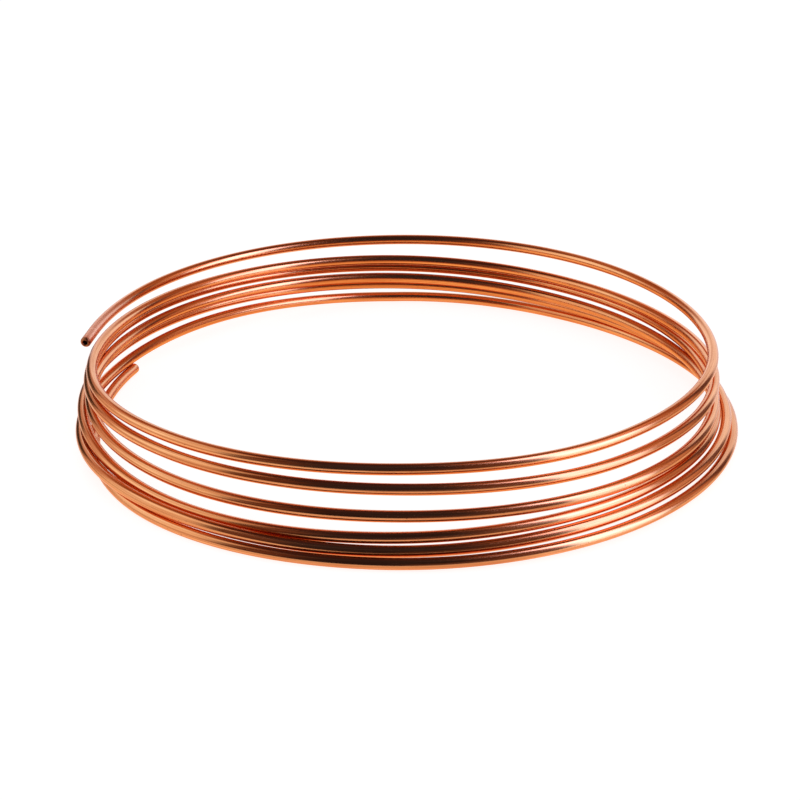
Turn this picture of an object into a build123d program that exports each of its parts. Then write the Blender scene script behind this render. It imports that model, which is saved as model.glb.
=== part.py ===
from build123d import *
from math import cos, floor, pi, sin
import os

# A loose coil of bare soft copper tube lying flat on the floor. Millimetres, +Z up, floor at zero.
# The tube is one piece: it starts at the top on the left, winds clockwise seen from above, and
# comes down to a tail that lies on the floor inside the bottom turn.

# Tube
tube_diameter = 6
wall = 1
bore_diameter = tube_diameter - 2 * wall

# Coil
coil_radius = 172
straight_end = 16
corners_per_turn = 24
stations_per_turn = 8
start_turn_share = 0.049
end_turn_share = 6.068
arc_share = 0.9

# One row per turn: left, back left, back, back right, right, front right, front and front left.
# The last row is the tail, inside the bottom turn.
# Reach is the distance of the tube's centre from the coil's axis, as shares of the coil radius.
reach_shares = [
    1.000, 1.085, 1.095, 1.065, 1.020, 0.905, 0.855, 0.890,
    0.955, 1.005, 1.040, 1.040, 1.025, 0.950, 0.895, 0.915,
    0.965, 1.030, 1.065, 1.070, 1.025, 1.005, 0.940, 0.940,
    0.960, 0.985, 1.020, 1.035, 1.030, 1.005, 0.970, 0.965,
    0.985, 1.005, 1.045, 1.060, 1.065, 1.035, 0.990, 1.010,
    0.985, 0.960, 1.065, 1.070, 1.085, 1.065, 1.025, 1.010,
    0.940, 0.975,
]

# Lift is the height of the tube above the floor, as shares of the tube diameter.
lift_shares = [
    4.30, 5.35, 6.00, 6.40, 6.20, 5.85, 6.10, 5.80,
    4.95, 4.65, 4.35, 4.05, 4.30, 4.45, 4.85, 4.70,
    3.95, 3.70, 3.35, 2.85, 2.85, 3.20, 3.05, 2.85,
    2.90, 3.00, 2.60, 1.95, 1.75, 1.95, 1.55, 1.15,
    1.90, 2.10, 1.65, 1.10, 1.20, 1.20, 0.60, 1.10,
    0.55, 1.25, 0.00, 0.05, 0.25, 0.30, 0.00, 0.00,
    0.00, 0.00,
]


def blend(shares, turns):
    """Value of a table of stations at a number of turns from the left, on a smooth curve through them."""
    place = turns * stations_per_turn
    first = min(int(floor(place)), len(shares) - 2)
    along = place - first
    start = shares[first]
    stop = shares[first + 1]
    before = shares[first - 1] if first > 0 else 2 * start - stop
    after = shares[first + 2] if first + 2 < len(shares) else 2 * stop - start
    slope = stop - before
    bend = 2 * before - 5 * start + 4 * stop - after
    twist = 3 * (start - stop) + after - before
    return start + along * (slope + along * (bend + along * twist)) / 2


def centre_point(turns, outset=1):
    """Point of the tube's centreline, pushed out from the coil's axis by a factor."""
    angle = pi - 2 * pi * turns
    reach = coil_radius * blend(reach_shares, turns) * outset
    # the floor stops the bottom turn
    lift = tube_diameter * max(0, blend(lift_shares, turns))
    return Vector(reach * cos(angle), reach * sin(angle), tube_diameter / 2 + lift)


def path_points():
    """Corners of the path with its two ends, from the straight end at the top to the tail on the floor."""
    outset = 1 / cos(pi / corners_per_turn)
    turns = end_turn_share - start_turn_share
    count = round(turns * corners_per_turn)
    step = turns / count
    corners = [centre_point(start_turn_share + (index + 1 / 2) * step, outset) for index in range(count)]
    first = centre_point(start_turn_share)
    last = centre_point(end_turn_share)
    away = (first - corners[0]).normalized()
    return [first + away * straight_end, *corners, last]


def tube_path():
    """Straight runs joined by tangent arcs."""
    points = path_points()
    rooms = [(after - before).length / 2 for before, after in zip(points, points[1:])]
    # an end run has one arc in it, so that arc may take all of the run but the straight end
    rooms[0] = 2 * rooms[0] - straight_end
    rooms[-1] = 2 * rooms[-1]
    edges = []
    start = points[0]
    for index in range(1, len(points) - 1):
        corner = points[index]
        arrive = (corner - points[index - 1]).normalized()
        leave = (points[index + 1] - corner).normalized()
        setback = arc_share * min(rooms[index - 1], rooms[index])
        edges.append(Edge.make_line(start, corner - arrive * setback))
        start = corner + leave * setback
        edges.append(Edge.make_tangent_arc(corner - arrive * setback, arrive, start))
    edges.append(Edge.make_line(start, points[-1]))
    return Wire(edges)


def copper_tube():
    """The tube: a ring section carried along the path."""
    path = tube_path()
    ring = Circle(tube_diameter / 2) - Circle(bore_diameter / 2)
    section = Plane(origin=path @ 0, z_dir=path % 0) * ring
    tube = sweep(section, path=path)
    box = tube.bounding_box()
    middle = box.center()
    return tube.moved(Location((-middle.X, -middle.Y, -box.min.Z)))


os.makedirs("parts", exist_ok=True)
export_step(copper_tube(), "parts/copper_tube.step")
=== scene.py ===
import math

import bpy
import numpy as np
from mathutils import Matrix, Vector


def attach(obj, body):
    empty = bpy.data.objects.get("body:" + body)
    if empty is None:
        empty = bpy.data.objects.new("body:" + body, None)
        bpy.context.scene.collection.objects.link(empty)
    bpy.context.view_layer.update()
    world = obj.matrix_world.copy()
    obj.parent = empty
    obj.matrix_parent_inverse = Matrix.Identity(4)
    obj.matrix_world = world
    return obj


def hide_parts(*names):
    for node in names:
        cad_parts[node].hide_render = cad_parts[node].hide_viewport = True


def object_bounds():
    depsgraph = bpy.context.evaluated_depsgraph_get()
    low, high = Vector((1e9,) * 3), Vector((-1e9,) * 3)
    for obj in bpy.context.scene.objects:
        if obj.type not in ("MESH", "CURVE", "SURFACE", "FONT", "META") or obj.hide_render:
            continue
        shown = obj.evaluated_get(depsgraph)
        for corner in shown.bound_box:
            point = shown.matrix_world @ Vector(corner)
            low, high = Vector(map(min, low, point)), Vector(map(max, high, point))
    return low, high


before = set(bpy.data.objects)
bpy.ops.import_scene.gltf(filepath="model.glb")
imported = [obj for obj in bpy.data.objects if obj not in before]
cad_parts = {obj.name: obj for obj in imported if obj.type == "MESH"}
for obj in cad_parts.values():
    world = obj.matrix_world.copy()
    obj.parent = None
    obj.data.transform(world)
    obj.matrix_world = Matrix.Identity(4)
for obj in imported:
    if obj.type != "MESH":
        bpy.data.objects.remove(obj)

# A loose coil of bare copper tube, in metres, +Z up, floor at zero.
cad_low, cad_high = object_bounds()

# Tube and coil, as in the part
tube_radius = 0.003
bore_radius = 0.002
coil_radius = 0.172
straight_end = 0.016
stations_per_turn = 8
start_turn = 0.049
end_turn = 6.068

# One row per turn: left, back left, back, back right, right, front right, front and front left.
# Reach is the distance from the coil's axis in coil radii, lift the height in tube diameters.
reach_shares = [
    1.000, 1.085, 1.095, 1.065, 1.020, 0.905, 0.855, 0.890,
    0.955, 1.005, 1.040, 1.040, 1.025, 0.950, 0.895, 0.915,
    0.965, 1.030, 1.065, 1.070, 1.025, 1.005, 0.940, 0.940,
    0.960, 0.985, 1.020, 1.035, 1.030, 1.005, 0.970, 0.965,
    0.985, 1.005, 1.045, 1.060, 1.065, 1.035, 0.990, 1.010,
    0.985, 0.960, 1.065, 1.070, 1.085, 1.065, 1.025, 1.010,
    0.940, 0.975,
]
lift_shares = [
    4.30, 5.35, 6.00, 6.40, 6.20, 5.85, 6.10, 5.80,
    4.95, 4.65, 4.35, 4.05, 4.30, 4.45, 4.85, 4.70,
    3.95, 3.70, 3.35, 2.85, 2.85, 3.20, 3.05, 2.85,
    2.90, 3.00, 2.60, 1.95, 1.75, 1.95, 1.55, 1.15,
    1.90, 2.10, 1.65, 1.10, 1.20, 1.20, 0.60, 1.10,
    0.55, 1.25, 0.00, 0.05, 0.25, 0.30, 0.00, 0.00,
    0.00, 0.00,
]

# Cut ends: depth from the end of the tube, and radius there.
# The cutter has rolled the top end in to a lip, which is sharp at these rings of its rim.
top_rim = [
    (0.0020, bore_radius),
    (0.0012, 0.00168),
    (0.0006, 0.00140),
    (0.0003, 0.00146),
    (0.0001, 0.00162),
    (0.0000, 0.00188),
    (0.0001, 0.00218),
    (0.0003, 0.00248),
    (0.0006, 0.00275),
    (0.0009, 0.00291),
    (0.0012, 0.00298),
]
lip_rings = [2, 5]
top_rim_depth = 0.0015

# The tail's end is only rounded.
tail_rim = [
    (0.0009, 0.00300),
    (0.0005, 0.00292),
    (0.0002, 0.00277),
    (0.0000, 0.00252),
    (0.0000, 0.00222),
    (0.0002, 0.00206),
    (0.0006, bore_radius),
]
tail_rim_depth = 0.0012

# A cutter's mark runs round the tube near the top end.
cutter_mark = [
    (0.0146, 0.00300),
    (0.0148, 0.00297),
    (0.0150, 0.00297),
    (0.0152, 0.00300),
]

# Mesh: rings along the outside and the bore, and points round each ring
rings = 1640
bore_rings = 410
bore_depth = 0.004
sides = 36
steps_per_ring = 20
tangent_step = 0.002

# Copper, in linear colours
dull_copper = (0.78, 0.270, 0.096)
bright_copper = (0.86, 0.320, 0.115)
rim_tint = (1.0, 0.8, 0.65)
dull_streak = (0.78, 0.68, 0.64)
bright_streak = (1.10, 1.22, 1.34)
# rubbed end: rougher, and lighter and pinker as a painted highlight
rubbed_copper_painted_highlight = (0.97, 0.45, 0.24)
# painted shade and dark reflection on the cut face at the top end
cut_face_painted_shade = (0.34, 0.095, 0.028)
pit_copper = (0.10, 0.04, 0.02)
least_roughness = 0.12
most_roughness = 0.22
rubbed_roughness = 0.25
streak_relief = 0.00006
streak_relief_share = 0.3

# Noise over the tube: stretch along it and round it, scale, detail and roughness.
# Draw lines are long and fine, clouding is a few centimetres long, and specks are small dark pits.
line_noise = ((6.0, 2.4, 2.4), 1.6, 5.0, 0.65)
cloud_noise = ((45.0, 0.8, 0.8), 1.0, 4.0, 0.5)
speck_noise = ((330.0, 1.0, 1.0), 2.6, 2.0, 0.5)

# Spans of that noise over which each look changes
cloud_span = (0.30, 0.70)
streak_span = (0.40, 0.60)
speck_span = (0.23, 0.27)
roughness_span = (0.3, 0.7)

# Rubbed stretch, lighter and pinker as a painted highlight, and cut face darkened as painted shade and dark
# reflection, from the top end: full up to the first depth, gone at the second
rubbed_highlight_start = 0.020
rubbed_highlight_stop = 0.075
cut_face_shade_start = 0.0009
cut_face_shade_stop = 0.0016
cut_face_shade_share = 0.85

# Floor: white to the camera, with a sheen at low angles and copper light inside the coil for the metal
floor_reach = 12.0
floor_drop = 0.0002
floor_grey = (0.4, 0.4, 0.4)
floor_glow = 0.85
floor_glow_to_metal = 0.10
sheen_roughness = 0.15
sheen_index = 2.2
sheen_span = (0.17, 0.55)
sheen_shares = (0.05, 1.0)
copper_light = (1.0, 0.72, 0.36)
copper_light_start = 0.16
copper_light_stop = 0.19

# World: white where it is seen, dimmer as light
world_light = 0.5
world_seen = 1.0

# Studio: a dim room with lit panels, seen by the metal and the floor but not by the camera.
# Azimuth is from the back (+Y) towards the right (+X), and elevation from the floor, in degrees.
studio_radius = 1.0
studio_foot = -2
grid_step = 2.0
room_level = (0.034, 0.034, 0.052)
below = -40  # lower than the dome's foot
panels = [
    # azimuth from and to, elevation from and to, soft edge, level; a later panel lies over an earlier one
    (-134, 136, 58, 95, 8, (0.06, 0.03, 0.04)),  # ceiling
    (136, 200, below, 16, 16, (0.10, 0.06, 0.05)),  # low glow on the right, up to the dome's seam at 180
    (70, 134, 58, 78, 12, (0.45, 0.24, 0.15)),  # ceiling over the softbox
    (-74, 95, below, 58, 8, (0.43, 0.195, 0.10)),  # back wall
    (-124, -70, 44, 60, 10, (0.40, 0.18, 0.11)),  # wall over the window
    (-148, -121, 2, 48, 20, (0.17, 0.09, 0.07)),  # wall on the camera's side of the window
    (-124, -68, below, 16, 12, (0.94, 0.92, 0.90)),  # wall under the window
    (-122, -68, 10, 51, 12, (1.04, 1.16, 1.24)),  # window on the left
    (-98, -68, 8, 48, 12, (1.14, 1.46, 1.80)),  # its brighter half
    (-68, -53, below, 30, 6, (0.78, 0.66, 0.68)),  # wall from the window to the dark stand
    (-55, -30, below, 18, 5, (0.06, 0.045, 0.035)),  # dark stand left of the backdrop
    (-31, 52, below, 30, 5, (1.08, 1.45, 2.25)),  # backdrop
    (-50, -28, 15, 26, 6, (0.74, 0.64, 0.74)),  # wall over the dark stand
    (53, 70, below, 36, 5, (0.15, 0.09, 0.105)),  # dark stand right of the backdrop
    (69, 96, below, 40, 6, (0.60, 0.38, 0.28)),  # wall from that stand to the softbox
    (66, 94, 38, 62, 6, (1.00, 0.64, 0.52)),  # upper wall beside the softbox
    (122, 156, 2, 64, 22, (0.17, 0.09, 0.065)),  # wall on the camera's side of the softbox
    (95, 131, 14, 62, 8, (2.9, 3.5, 6.9)),  # softbox on the right
    (95, 131, below, 16, 8, (2.0, 3.3, 5.8)),  # its lower part
]

# Camera, as far off and as high as the photographed view shows
camera_distance = 1.25
camera_height = math.radians(24.11)
camera_sensor = 36.0
camera_lens = 101.6
camera_shift = (0.0101, 0.0253)
camera_reach = 100.0


def blend(shares, turns):
    """Values of a table of stations at these turns from the left, on a smooth curve through them."""
    table = np.array(shares)
    table = np.concatenate([[2 * table[0] - table[1]], table, [2 * table[-1] - table[-2]]])
    place = turns * stations_per_turn
    first = np.minimum(np.floor(place).astype(int), len(shares) - 2)
    along = place - first
    before, start, stop, after = (table[first + step] for step in range(4))
    slope = stop - before
    bend = 2 * before - 5 * start + 4 * stop - after
    twist = 3 * (start - stop) + after - before
    return start + along * (slope + along * (bend + along * twist)) / 2


def points_at(places, travel, line):
    """Points of a line at these distances along it."""
    return np.stack([np.interp(places, travel, line[:, axis]) for axis in range(3)], 1)


def centre_line():
    """Points of the tube's centreline, evenly spaced from the top end, with their distances along it."""
    turns = np.linspace(start_turn, end_turn, steps_per_ring * rings)
    angle = math.pi - 2 * math.pi * turns
    reach = coil_radius * blend(reach_shares, turns)
    lift = tube_radius + 2 * tube_radius * np.maximum(0, blend(lift_shares, turns))
    line = np.stack([reach * np.cos(angle), reach * np.sin(angle), lift], 1)
    away = line[0] - line[1]
    line = np.concatenate([[line[0] + away / np.linalg.norm(away) * straight_end], line])
    travel = np.concatenate([[0], np.cumsum(np.linalg.norm(np.diff(line, axis=0), axis=1))])
    even = np.linspace(0, travel[-1], rings)
    return points_at(even, travel, line), even


def skin_rings(travel):
    """Place along the tube and radius of each ring: top rim, outside, tail rim and back through the bore."""
    length = travel[-1]
    outside = [(place, tube_radius) for place in travel[1:-1]]
    outside = sorted(outside + cutter_mark)
    outside = [ring for ring in outside if top_rim_depth < ring[0] < length - tail_rim_depth]
    tail = [(length - depth, radius) for depth, radius in tail_rim]
    bore = [(place, bore_radius) for place in np.linspace(length - bore_depth, bore_depth, bore_rings)]
    return np.array(top_rim + outside + tail + bore)


def skin_points(place, radius, spin, line, travel):
    """Points round each ring of the skin, square to the centreline."""
    length = travel[-1]
    centre = points_at(place, travel, line)
    ahead = points_at(np.minimum(place + tangent_step, length), travel, line)
    behind = points_at(np.maximum(place - tangent_step, 0), travel, line)
    tangent = ahead - behind
    tangent /= np.linalg.norm(tangent, axis=1)[:, None]
    side = np.cross(tangent, [0, 0, 1])
    side /= np.linalg.norm(side, axis=1)[:, None]
    rise = np.cross(side, tangent)
    spoke = side[:, None] * np.cos(spin)[None, :, None] + rise[:, None] * np.sin(spin)[None, :, None]
    return centre[:, None] + radius[:, None, None] * spoke


def coil_axis(points):
    """Foot of the coil's axis, where the skin fills the part's own box and rests on the floor."""
    low = points.reshape(-1, 3).min(0)
    high = points.reshape(-1, 3).max(0)
    return np.array([
        (cad_low.x + cad_high.x - low[0] - high[0]) / 2,
        (cad_low.y + cad_high.y - low[1] - high[1]) / 2,
        cad_low.z - low[2],
    ])


def tube_mesh(points, place, spin):
    """Closed skin of the tube, with the place of each point on the tube in an attribute."""
    count = len(points)
    faces = []
    for ring in range(count):
        on = (ring + 1) % count
        for spot in range(sides):
            beside = (spot + 1) % sides
            faces.append((ring * sides + spot, ring * sides + beside, on * sides + beside, on * sides + spot))
    mesh = bpy.data.meshes.new("drawn_tube")
    mesh.from_pydata(points.reshape(-1, 3).tolist(), [], faces)
    mesh.update()
    mesh.polygons.foreach_set("use_smooth", [True] * len(mesh.polygons))

    ends = np.zeros(len(mesh.edges) * 2, int)
    mesh.edges.foreach_get("vertices", ends)
    ring_of = ends.reshape(-1, 2) // sides
    sharp = (ring_of[:, 0] == ring_of[:, 1]) & np.isin(ring_of[:, 0], lip_rings)
    mesh.edges.foreach_set("use_edge_sharp", sharp)

    # distance along the tube, and the way round it on a unit circle
    draw = np.zeros((count, sides, 3))
    draw[:, :, 0] = place[:, None]
    draw[:, :, 1] = np.cos(spin)[None, :]
    draw[:, :, 2] = np.sin(spin)[None, :]
    attribute = mesh.attributes.new("draw", "FLOAT_VECTOR", "POINT")
    attribute.data.foreach_set("vector", draw.reshape(-1))
    return mesh


def link(tree, start, stop):
    tree.links.new(start, stop)


def new_material(name):
    """A material with nodes, and its node tree."""
    material = bpy.data.materials.new(name)
    material.use_nodes = True
    return material, material.node_tree


def math_value(tree, operation, *terms):
    """Result of a sum on these terms, each a socket or a number."""
    node = tree.nodes.new("ShaderNodeMath")
    node.operation = operation
    for spot, term in enumerate(terms):
        if isinstance(term, float):
            node.inputs[spot].default_value = term
        else:
            link(tree, term, node.inputs[spot])
    return node.outputs["Value"]


def map_range(tree, value, low, high, start, stop, smooth=False):
    """A value that goes from start to stop as another goes from low to high."""
    node = tree.nodes.new("ShaderNodeMapRange")
    if smooth:
        node.interpolation_type = "SMOOTHSTEP"
    node.inputs["From Min"].default_value = low
    node.inputs["From Max"].default_value = high
    node.inputs["To Min"].default_value = start
    node.inputs["To Max"].default_value = stop
    link(tree, value, node.inputs["Value"])
    return node.outputs["Result"]


def colour_ramp(tree, value, span, start, stop):
    """A colour that goes from start to stop as a value goes over the span."""
    node = tree.nodes.new("ShaderNodeValToRGB")
    elements = node.color_ramp.elements
    elements[0].position, elements[1].position = span
    elements[0].color = (*start, 1)
    elements[1].color = (*stop, 1)
    link(tree, value, node.inputs["Fac"])
    return node.outputs["Color"]


def turned_to(tree, colour, share, other):
    """A colour that turns to another one, as far as the share says."""
    node = tree.nodes.new("ShaderNodeMix")
    node.data_type = "RGBA"
    node.inputs["B"].default_value = (*other, 1)
    link(tree, share, node.inputs["Factor"])
    link(tree, colour, node.inputs["A"])
    return node.outputs["Result"]


def tube_noise(tree, where, stretch, scale, detail, roughness):
    """Noise over the places on the tube, stretched along it and round it."""
    mapping = tree.nodes.new("ShaderNodeMapping")
    mapping.inputs["Scale"].default_value = stretch
    link(tree, where, mapping.inputs["Vector"])
    noise = tree.nodes.new("ShaderNodeTexNoise")
    noise.inputs["Scale"].default_value = scale
    noise.inputs["Detail"].default_value = detail
    noise.inputs["Roughness"].default_value = roughness
    link(tree, mapping.outputs["Vector"], noise.inputs["Vector"])
    return noise.outputs["Fac"]


def seen_rays(tree):
    """One for camera, glossy and transmission rays, and zero for the rest."""
    path = tree.nodes.new("ShaderNodeLightPath")
    total = path.outputs["Is Camera Ray"]
    for name in ("Is Glossy Ray", "Is Transmission Ray"):
        total = math_value(tree, "MAXIMUM", total, path.outputs[name])
    return total


def copper():
    """Bright drawn copper: draw lines along the tube, clouding, specks, a rubbed end lightened as a painted
    highlight and a cut face darkened as painted shade and dark reflection.
    """
    material, tree = new_material("copper")
    shader = tree.nodes["Principled BSDF"]
    shader.inputs["Metallic"].default_value = 1.0
    shader.inputs["Specular Tint"].default_value = (*rim_tint, 1)
    draw = tree.nodes.new("ShaderNodeAttribute")
    draw.attribute_name = "draw"
    where = draw.outputs["Vector"]
    apart = tree.nodes.new("ShaderNodeSeparateXYZ")
    link(tree, where, apart.inputs["Vector"])
    depth = apart.outputs["X"]

    lines = tube_noise(tree, where, *line_noise)
    cloud = tube_noise(tree, where, *cloud_noise)
    pits = tube_noise(tree, where, *speck_noise)
    tone = colour_ramp(tree, cloud, cloud_span, dull_copper, bright_copper)
    streak = colour_ramp(tree, lines, streak_span, dull_streak, bright_streak)
    streaked = tree.nodes.new("ShaderNodeMix")
    streaked.data_type = "RGBA"
    streaked.blend_type = "MULTIPLY"
    streaked.inputs["Factor"].default_value = 1.0
    link(tree, tone, streaked.inputs["A"])
    link(tree, streak, streaked.inputs["B"])

    # rubbed end lightened as a painted highlight, cut face darkened as painted shade and dark reflection
    rubbed_and_highlight = map_range(tree, depth, rubbed_highlight_start, rubbed_highlight_stop, 1.0, 0.0)
    cut_face_shade = map_range(tree, depth, cut_face_shade_start, cut_face_shade_stop, cut_face_shade_share, 0.0)
    speck = colour_ramp(tree, pits, speck_span, (1, 1, 1), (0, 0, 0))
    colour = turned_to(tree, streaked.outputs["Result"], rubbed_and_highlight, rubbed_copper_painted_highlight)
    # the cut face turns dark as painted shade and dark reflection
    colour = turned_to(tree, colour, cut_face_shade, cut_face_painted_shade)
    colour = turned_to(tree, colour, speck, pit_copper)
    link(tree, colour, shader.inputs["Base Color"])

    drawn = map_range(tree, lines, *roughness_span, least_roughness, most_roughness)
    rough = math_value(tree, "MULTIPLY_ADD", rubbed_and_highlight, rubbed_roughness, drawn)
    link(tree, rough, shader.inputs["Roughness"])

    bump = tree.nodes.new("ShaderNodeBump")
    bump.inputs["Strength"].default_value = streak_relief_share
    bump.inputs["Distance"].default_value = streak_relief
    link(tree, lines, bump.inputs["Height"])
    link(tree, bump.outputs["Normal"], shader.inputs["Normal"])
    return material


def pale_floor():
    """Matt pale floor that is white to what sees it, with a sheen and copper light for the metal."""
    material, tree = new_material("pale_floor")
    tree.nodes.remove(tree.nodes["Principled BSDF"])
    metal_ray = tree.nodes.new("ShaderNodeLightPath").outputs["Is Glossy Ray"]

    matt = tree.nodes.new("ShaderNodeBsdfDiffuse")
    matt.inputs["Color"].default_value = (*floor_grey, 1)
    glow = tree.nodes.new("ShaderNodeEmission")
    seen = math_value(tree, "MULTIPLY", seen_rays(tree), floor_glow)
    strength = math_value(tree, "MULTIPLY_ADD", metal_ray, floor_glow_to_metal, seen)
    link(tree, strength, glow.inputs["Strength"])

    # the coil throws copper light on the floor inside it
    spot = tree.nodes.new("ShaderNodeTexCoord")
    far = tree.nodes.new("ShaderNodeVectorMath")
    far.operation = "LENGTH"
    link(tree, spot.outputs["Object"], far.inputs[0])
    distance = far.outputs["Value"]
    inside = map_range(tree, distance, copper_light_start, copper_light_stop, 1.0, 0.0, smooth=True)
    tint = tree.nodes.new("ShaderNodeMix")
    tint.data_type = "RGBA"
    tint.inputs["A"].default_value = (1, 1, 1, 1)
    tint.inputs["B"].default_value = (*copper_light, 1)
    link(tree, math_value(tree, "MULTIPLY", inside, metal_ray), tint.inputs["Factor"])
    link(tree, tint.outputs["Result"], glow.inputs["Color"])
    both = tree.nodes.new("ShaderNodeAddShader")
    link(tree, matt.outputs["BSDF"], both.inputs[0])
    link(tree, glow.outputs["Emission"], both.inputs[1])

    # the sheen takes over at low angles
    sheen = tree.nodes.new("ShaderNodeBsdfGlossy")
    sheen.inputs["Roughness"].default_value = sheen_roughness
    gloss = tree.nodes.new("ShaderNodeFresnel")
    gloss.inputs["IOR"].default_value = sheen_index
    low_angle = map_range(tree, gloss.outputs["Fac"], *sheen_span, *sheen_shares)
    surface = tree.nodes.new("ShaderNodeMixShader")
    link(tree, math_value(tree, "MULTIPLY", low_angle, metal_ray), surface.inputs["Fac"])
    link(tree, both.outputs["Shader"], surface.inputs[1])
    link(tree, sheen.outputs["BSDF"], surface.inputs[2])
    link(tree, surface.outputs["Shader"], tree.nodes["Material Output"].inputs["Surface"])
    return material


def studio_light():
    """Light at the level written at each point of the dome."""
    material, tree = new_material("studio_panels")
    tree.nodes.remove(tree.nodes["Principled BSDF"])
    level = tree.nodes.new("ShaderNodeAttribute")
    level.attribute_name = "level"
    glow = tree.nodes.new("ShaderNodeEmission")
    link(tree, level.outputs["Color"], glow.inputs["Color"])
    link(tree, glow.outputs["Emission"], tree.nodes["Material Output"].inputs["Surface"])
    return material


def smooth_step(value, low, high):
    """Zero up to low and one from high, with a smooth rise between."""
    share = np.clip((value - low) / (high - low), 0, 1)
    return share * share * (3 - 2 * share)


def window(value, start, stop, edge):
    """One between start and stop, falling off to zero over the soft edge."""
    rise = smooth_step(value, start - edge / 2, start + edge / 2)
    fall = smooth_step(value, stop - edge / 2, stop + edge / 2)
    return rise * (1 - fall)


def studio_levels(azimuth, elevation):
    """Light of the room and its panels in these directions."""
    level = np.tile(np.array(room_level), (*azimuth.shape, 1))
    for az_start, az_stop, el_start, el_stop, edge, light in panels:
        share = window(azimuth, az_start, az_stop, edge) * window(elevation, el_start, el_stop, edge)
        share = share[..., None]
        level = level * (1 - share) + np.array(light) * share
    return level


def studio_dome():
    """Dome of the studio round the coil, as a grid with its levels in an attribute."""
    azimuth, elevation = np.meshgrid(
        np.arange(-180, 180 + grid_step, grid_step), np.arange(studio_foot, 90 + grid_step, grid_step)
    )
    flat = studio_radius * np.cos(np.radians(elevation))
    up = studio_radius * np.sin(np.radians(elevation))
    spots = np.stack([flat * np.sin(np.radians(azimuth)), flat * np.cos(np.radians(azimuth)), up], -1)
    rows, across = azimuth.shape
    squares = []
    for row in range(rows - 1):
        for spot in range(across - 1):
            first = row * across + spot
            squares.append((first, first + 1, first + across + 1, first + across))
    grid = bpy.data.meshes.new("studio_dome")
    grid.from_pydata(spots.reshape(-1, 3).tolist(), [], squares)
    level = np.ones((rows, across, 4))
    level[..., :3] = studio_levels(azimuth, elevation)
    attribute = grid.color_attributes.new("level", "FLOAT_COLOR", "POINT")
    attribute.data.foreach_set("color", level.reshape(-1))
    grid.materials.append(studio_light())
    return grid


# The tube
line, travel = centre_line()
place, radius = skin_rings(travel).T
spin = 2 * math.pi * np.arange(sides) / sides
points = skin_points(place, radius, spin, line, travel)
axis_place = coil_axis(points)
points += axis_place
mesh = tube_mesh(points, place, spin)
tube = bpy.data.objects.new("drawn_tube", mesh)
bpy.context.scene.collection.objects.link(tube)
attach(tube, "root")
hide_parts("copper_tube")
mesh.materials.append(copper())

# The floor
floor_mesh = bpy.data.meshes.new("floor")
corners = [(-1, -1), (1, -1), (1, 1), (-1, 1)]
floor_mesh.from_pydata([(x * floor_reach, y * floor_reach, 0) for x, y in corners], [], [(0, 1, 2, 3)])
floor_mesh.materials.append(pale_floor())
floor = bpy.data.objects.new("floor", floor_mesh)
floor.location.z = cad_low.z - floor_drop
bpy.context.scene.collection.objects.link(floor)

# The studio
piece = bpy.data.objects.new("studio_dome", studio_dome())
piece.visible_camera = False
piece.visible_diffuse = False
piece.visible_shadow = False
bpy.context.scene.collection.objects.link(piece)

# The world
world = bpy.data.worlds.new("world")
bpy.context.scene.world = world
world.use_nodes = True
tree = world.node_tree
sky = tree.nodes["Background"]
sky.inputs["Color"].default_value = (1, 1, 1, 1)
strength = map_range(tree, seen_rays(tree), 0.0, 1.0, world_light, world_seen)
link(tree, strength, sky.inputs["Strength"])

bpy.context.scene.view_settings.view_transform = "Standard"

# The camera
camera_data = bpy.data.cameras.new("camera")
camera_data.sensor_width = camera_sensor
camera_data.lens = camera_lens
camera_data.shift_x, camera_data.shift_y = camera_shift
camera_data.clip_end = camera_reach
camera = bpy.data.objects.new("camera", camera_data)
back = -camera_distance * math.cos(camera_height)
camera.location = Vector(axis_place) + Vector((0, back, camera_distance * math.sin(camera_height)))
camera.rotation_euler = (math.pi / 2 - camera_height, 0, 0)
bpy.context.scene.collection.objects.link(camera)
bpy.context.scene.camera = camera
